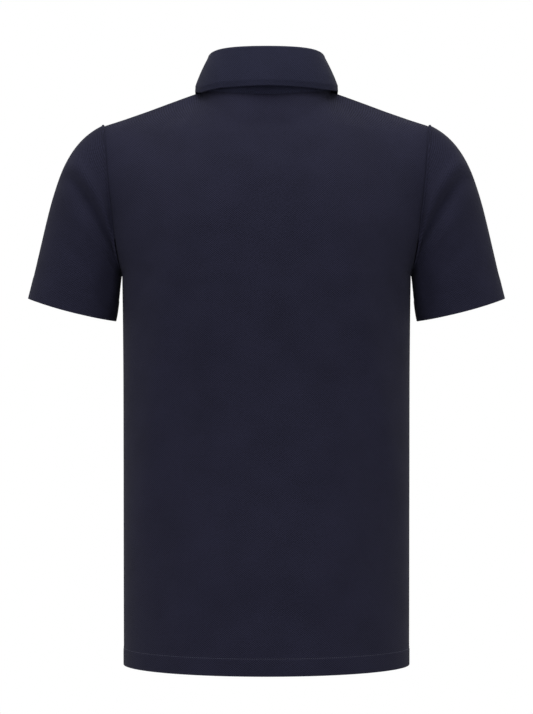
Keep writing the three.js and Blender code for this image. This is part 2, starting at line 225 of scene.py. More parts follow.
# ---- The body's surface --------------------------------------------------
# side is 1 for the back and -1 for the front, u runs across, t from the hem (0) to the top (2).
def armhole(c, side):
    """A point of the armhole. c is the cosine of the angle from its top."""
    h = (1 + c) / 2
    s = math.sqrt(max(0.0, 1 - c * c))
    inward = 7 * s * s if side < 0 else 0
    x = mix(UNDERARM[0], SHOULDER[0], h**ARMHOLE_LEAN) - inward
    return (x, side * ARMHOLE_DEPTH * s, mix(UNDERARM[1], SHOULDER[1], h))


def neckline(share, side):
    a = share * math.pi / 2
    rise = BACK_RISE if side > 0 else FRONT_RISE
    z, depth = rise[-1][1], rise[-1][2]
    bend = 2 if side > 0 else 1.5
    c = max(0.0, math.cos(a))
    return (
        NECK_HALF * math.sin(a),
        NECK_SIDE[0] + (side * depth - NECK_SIDE[0]) * c,
        NECK_SIDE[1] + (z - NECK_SIDE[1]) * c**bend,
    )


def top_edge(u, side):
    s = abs(u)
    if s <= NECK_SHARE:
        x, y, z = neckline(s / NECK_SHARE, side)
        return (math.copysign(x, u), y, z)
    k = (s - NECK_SHARE) / (1 - NECK_SHARE)
    drop = mix(k, ease(k), 0.05)
    return (
        math.copysign(mix(NECK_HALF, SHOULDER[0], k), u),
        mix(NECK_SIDE[0], 0, k),
        mix(NECK_SIDE[1], SHOULDER[1], drop),
    )


class Row:
    """One row of a panel: everything that depends on t alone."""

    def __init__(self, t, side):
        self.t, self.side = t, side
        self.lower = t <= 1
        if self.lower:
            self.z = mix(HEM_Z, UNDERARM[1], t)
            self.half = follow(SECTIONS, 0, 1, self.z)
            self.depth = follow(SECTIONS, 0, 2 if side > 0 else 3, self.z)
            self.round = follow(SECTIONS, 0, 4, self.z)
            return
        rise = BACK_RISE if side > 0 else FRONT_RISE
        share = t - 1
        self.edge = armhole(math.cos(math.pi * (1 - share)), side)
        self.z = follow(rise, 0, 1, share)
        self.depth = follow(rise, 0, 2, share)
        self.round = follow(rise, 0, 3, share)
        self.end = math.acos(clamp(side * self.edge[1] / self.depth) ** (self.round / 2))
        self.wide = self.edge[0] / math.sin(self.end) ** (2 / self.round)
        self.pull = share**2.6
        self.top = Row(2, side) if t < 2 else self

    def arc(self, u):
        if self.lower:
            a = u * math.pi / 2
            return (
                self.half * power(math.sin(a), 2 / self.round),
                self.side * self.depth * max(0.0, math.cos(a)) ** (2 / self.round),
                self.z,
            )
        a = u * self.end
        return (
            self.wide * power(math.sin(a), 2 / self.round),
            self.side * self.depth * math.cos(a) ** (2 / self.round),
            mix(self.z, self.edge[2], abs(u) ** 2.2),
        )

    def smooth(self, u):
        p = self.arc(u)
        if self.lower:
            return p
        # below the top, the neckline's corner is spread out
        reach = min(0.26, 1.3 * (2 - self.t)) * min(1, 2 * (1 - abs(u)))
        shift = [0, 0, 0]
        for k, weight in ((-1, 0.15), (-0.5, 0.22), (0, 0.26), (0.5, 0.22), (1, 0.15)):
            v = clamp(u + k * reach, -1, 1)
            to, top = top_edge(v, self.side), self.top.arc(v)
            shift = [shift[i] + weight * (to[i] - top[i]) for i in range(3)]
        return tuple(p[i] + self.pull * shift[i] for i in range(3))

    def body(self, u, fine=True):
        p = self.smooth(u)
        fade = ease((1 - abs(u)) / 0.12) * ease((2 - self.t) / 0.3)
        if fade <= 0:
            return p
        folds = BACK_FOLDS if self.side > 0 else FRONT_FOLDS
        if fine:
            folds = folds + (BACK_CREASES if self.side > 0 else FRONT_CREASES)
        rise = fold_rise(p, folds) * fade
        nx, ny = p[0] / 240, self.side
        n = math.hypot(nx, ny)
        return (p[0] + rise * nx / n, p[1] + rise * ny / n, p[2])

    def u_at(self, x):
        return math.copysign(bisect(lambda u: self.smooth(u)[0], abs(x), 30), x)


def fold_rise(p, folds):
    rise = 0
    for x0, z0, x1, z1, half, height in folds:
        dx, dz = x1 - x0, z1 - z0
        k = ((p[0] - x0) * dx + (p[2] - z0) * dz) / (dx * dx + dz * dz)
        if not 0 < k < 1:
            continue
        off = ((p[0] - x0) * dz - (p[2] - z0) * dx) / math.hypot(dx, dz)
        rise += height * math.sin(math.pi * k) ** 0.8 * math.exp(-((off / half) ** 2))
    return rise


# ---- Meshes --------------------------------------------------------------
def lengths(grid, axis):
    """How far along the surface each point of a grid is, along one of its two directions."""
    step = np.linalg.norm(np.diff(grid, axis=axis), axis=2)
    total = np.cumsum(step, axis=axis)
    return np.insert(total, 0, 0, axis=axis)


def normals(grid, outward, closed=False):
    """The direction out of a grid's surface at each of its points."""
    if closed:
        along = np.roll(grid, -1, axis=1) - np.roll(grid, 1, axis=1)
    else:
        along = np.gradient(grid, axis=1)
    up = np.gradient(grid, axis=0)
    out = np.cross(along, up)
    size = np.linalg.norm(out, axis=2, keepdims=True)
    return outward * out / np.maximum(size, 1e-9)


def rounded(distance, radius):
    """How far a rounded edge of that radius drops, at a distance from the edge."""
    k = np.clip(1 - distance / radius, 0, 1)
    return radius * (1 - np.sqrt(np.maximum(0, 1 - k * k)))


def cloth(name, grid, outward, outer, inner, node, slot, material, closed=False, skip=None, uv=None):
    """A sheet of cloth with two faces and rims between them.

    outer and inner say how far its faces lie from the grid, in mm. A closed grid joins its last column
    to its first. skip marks the cells that are left out.
    """
    m, n = grid.shape[:2]
    out = normals(grid, outward, closed)
    faces_up = grid + out * outer[..., None]
    faces_in = grid + out * inner[..., None]
    points = np.concatenate([faces_up.reshape(-1, 3), faces_in.reshape(-1, 3)]) * MM
    columns = n if closed else n - 1
    keep = np.ones((m - 1, columns), bool)
    if skip is not None:
        keep &= ~skip
    i, j = np.nonzero(keep)
    k = (j + 1) % n

    def quads(layer, flip):
        base = layer * m * n
        a, b, c, d = base + i * n + j, base + i * n + k, base + (i + 1) * n + k, base + (i + 1) * n + j
        return np.stack([d, c, b, a] if flip else [a, b, c, d], axis=1)

    sets = [quads(0, outward < 0), quads(1, outward > 0)]
    padded = np.zeros((m + 1, columns + 2), bool)
    padded[1:-1, 1:-1] = keep
    if closed:
        padded[:, 0], padded[:, -1] = padded[:, -2], padded[:, 1]
    layer = m * n
    for di, dj in ((-1, 0), (1, 0), (0, -1), (0, 1)):
        bare = keep & ~padded[1 + di : m + di, 1 + dj : columns + 1 + dj]
        a, b = np.nonzero(bare)
        c = (b + 1) % n
        if di == -1:
            p, q = a * n + b, a * n + c
        elif di == 1:
            p, q = (a + 1) * n + c, (a + 1) * n + b
        elif dj == -1:
            p, q = (a + 1) * n + b, a * n + b
        else:
            p, q = a * n + c, (a + 1) * n + c
        ring = [layer + p, layer + q, q, p]
        sets.append(np.stack(ring if outward > 0 else ring[::-1], axis=1))
    mesh = bpy.data.meshes.new(name)
    mesh.from_pydata(points.tolist(), [], np.concatenate(sets).tolist())
    if uv is None:
        across = lengths(grid, 1)
        across = across - across[:, n // 2 : n // 2 + 1]
        up = lengths(grid, 0)[:, n // 2 : n // 2 + 1] + np.zeros((m, n))
        uv = np.stack([across, up], axis=2)
    flat = np.concatenate([uv.reshape(-1, 2)] * 2)
    layer_uv = mesh.uv_layers.new(name="UVMap")
    index = np.zeros(len(mesh.loops), int)
    mesh.loops.foreach_get("vertex_index", index)
    corner_uv = flat[index].reshape(-1, 4, 2)
    if closed:
        column = (index % (m * n) % n).reshape(-1, 4)
        wraps = (column == n - 1).any(axis=1, keepdims=True) & (column == 0)
        corner_uv[..., 0] += np.where(wraps, WEAVE_COLUMN * n, 0)
    layer_uv.data.foreach_set("uv", corner_uv.ravel())
    mesh.polygons.foreach_set("use_smooth", [True] * len(mesh.polygons))
    mesh.update()
    return piece(name, mesh, material, node)


def piece(name, mesh, material, node=None):
    obj = bpy.data.objects.new(name, mesh)
    bpy.context.collection.objects.link(obj)
    mesh.materials.append(material)
    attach(obj, "root")
    if node:
        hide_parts(node)
    return obj


def spaced(total, step, near=(0, 0.12, 0.35, 0.7, 1.2, 1.9, 2.8, 4), ends=(True, True)):
    """Shares of a length, with extra ones close to its ends."""
    count = max(2, round(total / step))
    shares = {round(i / count, 6) for i in range(count + 1)}
    reach = 1.2 * max(near) / total
    shares = {s for s in shares if not (ends[0] and s < reach) and not (ends[1] and s > 1 - reach)}
    if ends[0]:
        shares |= {d / total for d in near}
    if ends[1]:
        shares |= {1 - d / total for d in near}
    return sorted(shares | {0.0, 1.0})


# ---- Stitches ------------------------------------------------------------
STITCH_SIDES = 6


def capsule(points, faces, at, along, out, length, radius):
    """Adds one stitch: a small bead that arches out of the cloth."""
    along = along / np.linalg.norm(along)
    out = out - along * np.dot(out, along)
    out = out / np.linalg.norm(out)
    wide = np.cross(along, out)
    base = len(points)
    # place along the stitch, size and lift of each ring
    rings = ((-0.5, 0.25, -0.6), (-0.3, 0.9, 0.25), (0, 1.0, 0.55), (0.3, 0.9, 0.25), (0.5, 0.25, -0.6))
    for k, size, lift in rings:
        centre = at + along * (k * length) + out * (lift * radius)
        for a in range(STITCH_SIDES):
            angle = math.pi * (a + 0.5) / (STITCH_SIDES / 2)
            points.append(centre + radius * size * (math.cos(angle) * wide + math.sin(angle) * out))
    for r in range(len(rings) - 1):
        p, q = base + STITCH_SIDES * r, base + STITCH_SIDES * (r + 1)
        for a in range(STITCH_SIDES):
            b = (a + 1) % STITCH_SIDES
            faces.append((p + a, p + b, q + b, q + a))
    faces.append(tuple(base + a for a in range(STITCH_SIDES))[::-1])
    last = base + STITCH_SIDES * (len(rings) - 1)
    faces.append(tuple(last + a for a in range(STITCH_SIDES)))


def stitch_row(points, faces, line, out, pitch=2.6, fill=0.72, radius=0.26, lift=0.1):
    """Evenly spaced stitches along a line of points, each with the direction out of the cloth."""
    line, out = np.array(line, float), np.array(out, float)
    step = np.linalg.norm(np.diff(line, axis=0), axis=1)
    run = np.insert(np.cumsum(step), 0, 0)
    count = max(1, int(run[-1] / pitch))
    pitch = run[-1] / count
    for i in range(count):
        ends = [(i + 0.5 - fill / 2) * pitch, (i + 0.5 + fill / 2) * pitch]
        a, b = (np.array([np.interp(e, run, line[:, c]) for c in range(3)]) for e in ends)
        o = np.array([np.interp(sum(ends) / 2, run, out[:, c]) for c in range(3)])
        o /= np.linalg.norm(o)
        capsule(points, faces, (a + b) / 2 + o * lift, b - a, o, np.linalg.norm(b - a), radius)


def sewn(name, points, faces):
    """The piece made of all the stitches gathered in points and faces."""
    mesh = bpy.data.meshes.new(name)
    mesh.from_pydata([(p * MM).tolist() for p in points], [], faces)
    mesh.polygons.foreach_set("use_smooth", [True] * len(mesh.polygons))
    return piece(name, mesh, THREAD)


def thread(name, rows, slot="body_cloth", **size):
    points, faces = [], []
    for line, out in rows:
        stitch_row(points, faces, line, out, **size)
    return sewn(name, points, faces)


def line_at(grid, out, run, distance, columns):
    """Where each column of a grid reaches a distance along it, with the direction out of the cloth."""
    line, to = [], []
    for j in columns:
        line.append([np.interp(distance, run[:, j], grid[:, j, c]) for c in range(3)])
        to.append([np.interp(distance, run[:, j], out[:, j, c]) for c in range(3)])
    return line, to


# ---- Materials -----------------------------------------------------------
def material(name):
    made = bpy.data.materials.new(name)
    made.use_nodes = True
    tree = made.node_tree
    return made, tree, tree.nodes["Principled BSDF"]


def maths(tree, operation, *values):
    node = tree.nodes.new("ShaderNodeMath")
    node.operation = operation
    for socket, value in zip(node.inputs, values):
        if isinstance(value, (int, float)):
            socket.default_value = value
        else:
            tree.links.new(value, socket)
    return node.outputs[0]


def noise(tree, scale, detail=2, vector=None):
    node = tree.nodes.new("ShaderNodeTexNoise")
    node.inputs["Scale"].default_value = scale
    node.inputs["Detail"].default_value = detail
    if vector is not None:
        tree.links.new(vector, node.inputs["Vector"])
    return node.outputs[0]


def between(tree, value, low, high, span=(0, 1)):
    """A colour that goes from low to high as a value crosses a span."""
    node = tree.nodes.new("ShaderNodeValToRGB")
    for stop, position, colour in zip(node.color_ramp.elements, span, (low, high)):
        stop.position = position
        stop.color = (*colour, 1)
    tree.links.new(value, node.inputs[0])
    return node.outputs[0]


def speckled(name, scale, detail, low, high):
    """A plain surface whose colour wanders between two."""
    made, tree, shader = material(name)
    cloud = noise(tree, scale, detail)
    tree.links.new(between(tree, cloud, low, high), shader.inputs["Base Color"])
    return made, tree, shader, cloud


def knit(name, colour, cell, light=2.2, dark=0.12, bump=0.9):
    """Pique: rows of raised cells, each row set half a cell along, with some fuzz and uneven dye. Its
    colour follows the relief: painted shade in the sunk parts of the cells and fuzz, painted highlight on
    the raised ones, set by dark and light.

    The map is in millimetres along the cloth, and cell is the size of a pair of cells in it.
    """
    made, tree, shader = material(name)
    links = tree.links
    uv = tree.nodes.new("ShaderNodeUVMap")
    uv.uv_map = "UVMap"
    place = uv.outputs[0]
    parts = tree.nodes.new("ShaderNodeSeparateXYZ")
    links.new(place, parts.inputs[0])
    wander = noise(tree, 0.35, 2, place)
    shift = maths(tree, "MULTIPLY", maths(tree, "SUBTRACT", wander, 0.5), 1.1)
    x = maths(tree, "ADD", parts.outputs[0], shift)
    y = maths(tree, "ADD", parts.outputs[1], shift)
    sx = maths(tree, "SINE", maths(tree, "MULTIPLY", x, 2 * math.pi / cell[0]))
    sy = maths(tree, "SINE", maths(tree, "MULTIPLY", y, 2 * math.pi / cell[1]))
    cells = maths(tree, "MULTIPLY_ADD", maths(tree, "MULTIPLY", sx, sy), 0.5, 0.5)
    fuzz = noise(tree, 0.6, 4, place)
    height = maths(tree, "ADD", maths(tree, "MULTIPLY", cells, 0.75), maths(tree, "MULTIPLY", fuzz, 0.7))
    dye = noise(tree, 0.02, 3, place)
    # the colour mixes the cells' height, as painted shade and highlight, with uneven dye
    shade_and_dye = maths(tree, "ADD", maths(tree, "MULTIPLY", height, 0.8), maths(tree, "MULTIPLY", dye, 0.25))
    # sunk parts get a painted shade colour, raised parts a painted highlight colour
    painted_shade_colour, raised = [c * dark for c in colour], [c * light for c in colour]
    links.new(between(tree, shade_and_dye, painted_shade_colour, raised, (0.25, 0.95)), shader.inputs["Base Color"])
    links.new(maths(tree, "MULTIPLY_ADD", height, -0.12, 0.98), shader.inputs["Roughness"])
    relief = tree.nodes.new("ShaderNodeBump")
    relief.inputs["Strength"].default_value = bump
    relief.inputs["Distance"].default_value = 0.0005
    links.new(height, relief.inputs["Height"])
    links.new(relief.outputs[0], shader.inputs["Normal"])
    shader.inputs["Specular IOR Level"].default_value = 0.05
    shader.inputs["Sheen Weight"].default_value = 0.01
    shader.inputs["Sheen Roughness"].default_value = 0.5
    return made


NAVY = (0.0060, 0.0060, 0.0122)
COLLAR_NAVY = (0.0066, 0.0070, 0.0142)
PIQUE = knit("pique", NAVY, cell=(3.0, 2.5))
COLLAR_PIQUE = knit("collar_pique", COLLAR_NAVY, cell=(2.8, 2.3))

THREAD, _, thread_shader, _ = speckled("thread", 900, 2, (0.020, 0.021, 0.036), (0.052, 0.054, 0.082))
thread_shader.inputs["Roughness"].default_value = 0.6
thread_shader.inputs["Specular IOR Level"].default_value = 0.3

RESIN, resin_tree, resin_shader, cloud = speckled(
    "button_resin", 220, 5, (0.006, 0.0065, 0.012), (0.022, 0.023, 0.036)
)
resin_tree.links.new(maths(resin_tree, "MULTIPLY_ADD", cloud, 0.2, 0.22), resin_shader.inputs["Roughness"])
resin_shader.inputs["Specular IOR Level"].default_value = 0.3


# ---- Body panels ---------------------------------------------------------
def panel_rows():
    low = set(spaced(LOWER_LENGTH, 4.6, ends=(True, False)))
    low |= {(HEM_STITCH + d) / LOWER_LENGTH for d in (-2.4, -1.4, -0.7, 0, 0.7, 1.4, 2.4, 3.6)}
    high = spaced(UPPER_LENGTH, 3.4, near=(0, 0.15, 0.4, 0.8, 1.4, 2.2, 3.4), ends=(False, True))[1:]
    return sorted(low) + [1 + s for s in high]


def hem_relief(up, across, at):
    """A turned hem: two layers thick below its stitches, which pull it in."""
    band = 0.45 * np.clip((at + 2.2 - up) / 1.6, 0, 1)
    groove = -0.55 * np.exp(-(((up - at) / 0.9) ** 2))
    pucker = 0.10 * np.sin(across * 2 * math.pi / 5.2) * np.exp(-(((up - at) / 3.0) ** 2))
    return band + groove + pucker


def hem_inside(up, at):
    """The turned layer inside a hem."""
    return HEM_FOLD * np.clip((at + 2.2 - up) / 1.6, 0, 1)


def panel_faces(grid):
    across, up = lengths(grid, 1), lengths(grid, 0)
    side = np.minimum(across, across[:, -1:] - across)
    top = up[-1:, :] - up
    seam = np.minimum(side, top)
    seam_dip = -1.6 * np.exp(-((seam / 1.8) ** 2))
    outer = hem_relief(up, across, HEM_STITCH) + seam_dip - rounded(up, 0.7)
    inner = -PANEL_INSIDE - hem_inside(up, HEM_STITCH) - 0.5 * np.exp(-((seam / 1.5) ** 2))
    inner = inner + rounded(up, 0.6)
    return outer, inner


T_ROWS = panel_rows()
U_COLUMNS = [2 * s - 1 for s in spaced(PANEL_WIDTH, 3.5, near=SEAM_ROWS)]
NOTCH_T = 1 + PLACKET_FOOT


def back_cloth():
    grid = np.array([[row.body(u) for u in U_COLUMNS] for row in (Row(t, 1) for t in T_ROWS)])
    return cloth("back", grid, -1, *panel_faces(grid), "back_panel", "body_cloth", PIQUE)


def front_cloth():
    """The front, whose middle columns follow the sides of the placket's notch."""
    rows = sorted([t for t in T_ROWS if abs(t - NOTCH_T) > 0.006] + [NOTCH_T])
    half = spaced(HALF_FRONT, 3.5, near=SEAM_ROWS)
    grid = []
    for t in rows:
        row = Row(t, -1)
        notch_u = row.u_at(PLACKET_HALF + 0.2)
        outside = [mix(notch_u, 1, s) for s in half]
        middle = [mix(-notch_u, notch_u, i / NOTCH_CELLS) for i in range(1, NOTCH_CELLS)]
        grid.append([row.body(u) for u in [-v for v in outside][::-1] + middle + outside])
    grid = np.array(grid)
    skip = np.zeros((len(rows) - 1, grid.shape[1] - 1), bool)
    first = len(half) - 1
    skip[rows.index(NOTCH_T) :, first : first + NOTCH_CELLS] = True
    return cloth("front", grid, 1, *panel_faces(grid), "front_panel", "body_cloth", PIQUE, skip=skip)


back = back_cloth()
front = front_cloth()


def line_on_panel(side, points):
    """Points of a panel, given as (u, t), each with the direction out of the cloth."""
    line, out = [], []
    for u, t in points:
        row, above = Row(t, side), Row(min(2, t + 0.004), side)
        p = np.array(row.body(u))
        a = np.array(row.body(min(1, u + 0.004))) - np.array(row.body(max(-1, u - 0.004)))
        b = np.array(above.body(u)) - p
        n = np.cross(a, b) * (-1 if side > 0 else 1)
        line.append(p)
        out.append(n / np.linalg.norm(n))
    return line, out


hem_points = [(mix(-0.995, 0.995, i / 240), HEM_STITCH / LOWER_LENGTH) for i in range(241)]
thread("hem_stitches", [line_on_panel(1, hem_points), line_on_panel(-1, hem_points)], lift=-0.15)

# ---- Sleeves -------------------------------------------------------------
# length of the curves' handles over, beside and under the arm, and how their start leans
HANDLES = {
    "start": (64, 46, 14),
    "end": (118, 62, 16),
    "out_x": (0.88, 0.8, 0.16),
    "out_z": (-0.42, -0.5, -0.98),
}
# where along the sleeve, how much it slants, half width, how far out
SLEEVE_FOLDS = [(0.075, -0.69, 0.055, 6.0), (0.185, -0.69, 0.055, -6.5)]
SLEEVE_CREASES = [(0.36, -0.55, 0.05, 1.3), (0.62, -0.30, 0.06, -1.2)]
ARMHOLE_MIDDLE = -134
TUCK = 4  # width of the seam allowance inside the armhole


def blend_round(values, c):
    top, side, under = values
    return side + (top - under) / 2 * c + ((top + under) / 2 - side) * c * c


def sleeve_point(angle, k, hand):
    """angle goes round the arm from its top, k from the armhole (0) to the cuff (1)."""
    side = 1 if math.sin(angle) >= 0 else -1
    c, s = math.cos(angle), math.sin(angle)
    start = np.array(armhole(c, side))
    start[0] += 0.35 + 1.3 * ((1 - c) / 2) ** 2
    tilt = CUFF["tilt"]
    end = np.array([
        CUFF["x"] + CUFF["across"] * c * math.cos(tilt),
        CUFF["y"] + CUFF["deep"] * s,
        CUFF["z"] + CUFF["across"] * c * math.sin(tilt) - CUFF["sag"] * s * s,
    ])
    d0 = np.array([blend_round(HANDLES["out_x"], c), 0.12 * s, blend_round(HANDLES["out_z"], c)])
    d0 /= np.linalg.norm(d0)
    d1 = np.array([math.sin(tilt), 0, -math.cos(tilt)])
    a = start + d0 * blend_round(HANDLES["start"], c)
    b = end - d1 * blend_round(HANDLES["end"], c)
    w = 1 - k
    p = start * w**3 + a * (3 * w * w * k) + b * (3 * w * k * k) + end * k**3
    reach = abs(s) ** 0.9
    turned = 0.5 - math.acos(clamp(c, -1, 1)) / math.pi
    rise = 0
    for at, slant, half, height in SLEEVE_FOLDS + SLEEVE_CREASES:
        rise += height * math.exp(-(((k - at + slant * turned) / half) ** 2))
    p[1] += side * rise * reach * ease(k / 0.06) * ease((1 - k) / 0.3)
    # the hollow beside the armpit
    p[1] -= side * 2.6 * math.exp(-(((turned + 0.25) / 0.07) ** 2)) * ease(k / 0.15) * ease((1 - k) / 0.4)
    p[0] *= hand
    return p


def sleeve(which, hand):
    angles = [math.pi + 2 * math.pi * i / SLEEVE_COLUMNS for i in range(SLEEVE_COLUMNS)]
    shares = spaced(SLEEVE_LENGTH, 3.4, near=(*SEAM_ROWS, 5.0, 6.5, 8))
    grid = np.array([[sleeve_point(a, k, hand) for a in angles] for k in shares])
    down = lengths(grid, 0)
    to_cuff = down[-1:, :] - down
    wrapped = np.concatenate([grid, grid[:, :1]], axis=1)
    across = lengths(wrapped, 1)[:, :-1]
    seam = 0.75 * np.clip(down / 1.6, 0, 1) * np.clip((7.2 - down) / 1.8, 0, 1)
    seam = seam - 2.2 * np.exp(-((down / 1.3) ** 2))
    outer = hem_relief(to_cuff, across, CUFF_STITCH) + seam - rounded(to_cuff, 0.7)
    inner = -SLEEVE_INSIDE - hem_inside(to_cuff, CUFF_STITCH) + rounded(to_cuff, 0.6)
    # the seam allowance, turned in under the panels' edges
    tuck = grid[:1] * (1, 0.965, 1) - (3.5 * hand, 0, 0)
    tuck[..., 2] = (tuck[..., 2] - ARMHOLE_MIDDLE) * 0.98 + ARMHOLE_MIDDLE
    grid = np.concatenate([tuck, grid])
    outer = np.concatenate([np.zeros_like(outer[:1]), outer])
    inner = np.concatenate([inner[:1], inner])
    to_cuff = np.concatenate([to_cuff[:1] + TUCK, to_cuff])
    # the weave is square to the cuff, as the sleeve was cut
    turn = WEAVE_COLUMN * np.arange(len(angles)) + np.zeros(to_cuff.shape)
    uv = np.stack([turn, -to_cuff], axis=2)
    name, node = f"cloth_{which}", f"sleeve_{which}"
    made = cloth(name, grid, hand, outer, inner, node, "body_cloth", PIQUE, closed=True, uv=uv)
    out = normals(grid, hand, True)
    around = [*range(SLEEVE_COLUMNS), 0]
    return made, line_at(grid[::-1], out[::-1], to_cuff[::-1], CUFF_STITCH, around)


left, left_line = sleeve("left", 1)
right, right_line = sleeve("right", -1)
thread("cuff_stitches", [left_line, right_line], radius=0.22, lift=-0.2)


# ---- Placket -------------------------------------------------------------
def t_at(z):
    """The row of the front that is z high at centre front."""
    return 1 + bisect(lambda share: follow(FRONT_RISE, 0, 1, share), z, 40)


TOP_LIFT = COLLAR_CLOTH + SEAM + 0.15
BAND_TOP = 1.97
BOX_HEIGHT = 18  # of the stitched box at the placket's foot
notch_z = Row(NOTCH_T, -1).smooth(0)[2]
band_foot_t = t_at(notch_z - BAND_FOOT)


def band_grid(half, foot, top):
    shares = spaced(BAND_LENGTH, 2.0, near=BAND_ROWS)
    widths = spaced(2 * half, 2.0, near=BAND_ROWS)
    rows = [Row(mix(foot, top, s), -1) for s in shares]
    return np.array([[row.body(row.u_at(mix(-half, half, w)), False) for w in widths] for row in rows])


def band(name, grid, lift, thick, node):
    across, up = lengths(grid, 1), lengths(grid, 0)
    edge = np.minimum(np.minimum(across, across[:, -1:] - across), np.minimum(up, up[-1:] - up))
    groove = -0.22 * np.exp(-(((edge - BAND_STITCH) / 0.7) ** 2))
    outer = lift + groove - rounded(edge, 0.7)
    inner = lift - thick + rounded(edge, 0.5)
    return cloth(name, grid, 1, outer, inner, node, "body_cloth", PIQUE)


under_grid = band_grid(PLACKET_HALF - SEAM, NOTCH_T + 0.004, BAND_TOP)
under_band = band("band_under", under_grid, -0.1, UNDER_BAND_CLOTH, "placket_under")
top_grid = band_grid(PLACKET_HALF + PLACKET_LAP, band_foot_t, BAND_TOP)
top_band = band("band_top", top_grid, TOP_LIFT, COLLAR_CLOTH, "placket_top")


def on_band(x, z):
    """A point of the top band's outer face and the direction out of it."""
    t = t_at(z) if z < Row(2, -1).z else 2
    row, above = Row(t, -1), Row(t + 0.01, -1)
    u, v = row.u_at(x), above.u_at(x)
    p = np.array(row.body(u, False))
    a = np.array(row.body(row.u_at(x + 1), False)) - np.array(row.body(row.u_at(x - 1), False))
    b = np.array(above.body(v, False)) - p
    n = np.cross(a, b)
    n /= np.linalg.norm(n)
    return p + n * TOP_LIFT, n


def band_row(points, steps=40):
    """A row of stitches over the top band, through points given as (x, z)."""
    line, out = [], []
    for (x0, z0), (x1, z1) in zip(points, points[1:]):
        for i in range(steps + 1):
            p, n = on_band(mix(x0, x1, i / steps), mix(z0, z1, i / steps))
            line.append(p)
            out.append(n)
    return line, out


edge_x = PLACKET_HALF + PLACKET_LAP - BAND_STITCH
foot_z = Row(band_foot_t, -1).smooth(0)[2] + 2.3
box_z = foot_z + BOX_HEIGHT
band_top_z = Row(BAND_TOP, -1).smooth(0)[2] - 0.5
thread(
    "placket_stitches",
    [
        band_row([(-edge_x, band_top_z), (-edge_x, foot_z)]),
        band_row([(edge_x, band_top_z), (edge_x, foot_z)]),
        band_row([(-edge_x, foot_z), (edge_x, foot_z)]),
        band_row([(-edge_x, box_z), (edge_x, box_z)]),
        band_row([(-edge_x, foot_z), (edge_x, box_z)]),
        band_row([(-edge_x, box_z), (edge_x, foot_z)]),
    ],
    pitch=2.4,
    radius=0.24,
    lift=0.0,
)


# ---- Collar --------------------------------------------------------------
STAND_END = 1.022  # the stand's ends lap past centre front
STAND_TUCK = [-0.07, -0.035]  # rows below the neckline
LAP_RATE = 620  # mm that the lapped ends run on across the front, for a share of 1


def foot_at(share):
    """The neckline, by the share of the way round from centre back (0) to centre front (1)."""
    return neckline(share * 2, 1) if share <= 0.5 else neckline(2 - share * 2, -1)


def fold_at(share):
    """The line where the leaf folds over the stand, by the same share."""
    a = share * math.pi
    behind = share <= 0.5
    lift = abs(math.cos(a))
    end_y = FOLD["backY"] if behind else FOLD["frontY"]
    end_z = FOLD["backZ"] if behind else FOLD["frontZ"]
    return np.array([
        FOLD["sideX"] * math.sin(a) ** 0.92 if 0 < share < 1 else 0.0,
        mix(FOLD["sideY"], end_y, lift),
        mix(FOLD["sideZ"], end_z, 1 - (1 - lift) ** 2 if behind else lift**1.3),
    ])


def stand_point(s, k):
    """s goes round the neck from -1 to 1, k from the neckline (0) to the fold (1)."""
    beyond = math.copysign(abs(s) - 1, s) if abs(s) > 1 else 0
    share = min(1, abs(s))
    foot, fold = np.array(foot_at(share)), fold_at(share)
    p = mix(foot, fold, 0.985 * k)
    out = np.array([p[0] / 60, p[1] / 70, 0])
    out /= np.linalg.norm(out)
    if k < 0:
        p = p - out * 1.2
    else:
        p = p + out * (math.sin(math.pi * k) * 1.5 + 0.4 * (1 - k))
    p[0] *= -1 if s < 0 else 1
    p[1] -= ease((s - 0.9) / 0.08) * 2.1 if s > 0 else 0
    p[0] -= beyond * LAP_RATE
    return p


def stand():
    steps = [mix(-STAND_END, STAND_END, s) for s in spaced(STAND_ROUND, 2.6)]
    shares = STAND_TUCK + spaced(STAND_HEIGHT, 2.2)
    grid = np.array([[stand_point(s, k) for s in steps] for k in shares])
    across, up = lengths(grid, 1), lengths(grid, 0)
    edge = np.minimum(across, across[:, -1:] - across)
    outer = -rounded(edge, 0.8) - rounded(up, 0.5)
    outer = outer - 0.25 * np.exp(-(((up - STAND_STITCH) / 0.7) ** 2))
    inner = -COLLAR_CLOTH + rounded(edge, 0.7)
    made = cloth("stand", grid, 1, outer, inner, "collar_stand", "collar_cloth", COLLAR_PIQUE)
    row = line_at(grid, normals(grid, 1), up, STAND_STITCH, range(3, len(steps) - 3))
    thread("stand_stitches", [row], slot="collar_cloth", radius=0.22, lift=-0.1)
    return made


def leaf_edge(share, s):
    p = np.array([follow(LEAF, 0, i, share, i > 1) for i in (1, 2, 3)])
    if s < 0:
        # this side's back corner sits a little higher and wider
        corner = math.exp(-(((share - 0.40) / 0.07) ** 2))
        p[2] += 2.4 * corner
        p[0] += 1.5 * corner
    return p


def leaf_point(s, k):
    """k from -1 to 0 rolls over the fold and from 0 to 1 falls to the edge."""
    share = abs(s)
    last = 1 - LEAF_START
    fold, edge = fold_at(share * last), leaf_edge(share, s)
    out = edge - fold
    flat = np.array([out[0], out[1], 0.0])
    if share * last < 0.5:
        ray = np.array([fold[0], fold[1], 0.0])
        ray *= np.linalg.norm(flat) / np.linalg.norm(ray)
        flat = mix(flat, ray, 0.2)
    flat /= np.linalg.norm(flat)
    centre = fold + flat * ROLL * 0.55
    centre[2] += 0.4 + COLLAR_CLOTH
    if k <= 0:
        a = mix(math.pi, math.pi * 0.02, k + 1)
        p = centre + flat * ROLL * math.cos(a)
        p[2] += ROLL * math.sin(a)
    else:
        p = mix(centre + flat * ROLL, edge, k) + flat * math.sin(math.pi * k) * 1.2
    p[0] *= -1 if s < 0 else 1
    return p


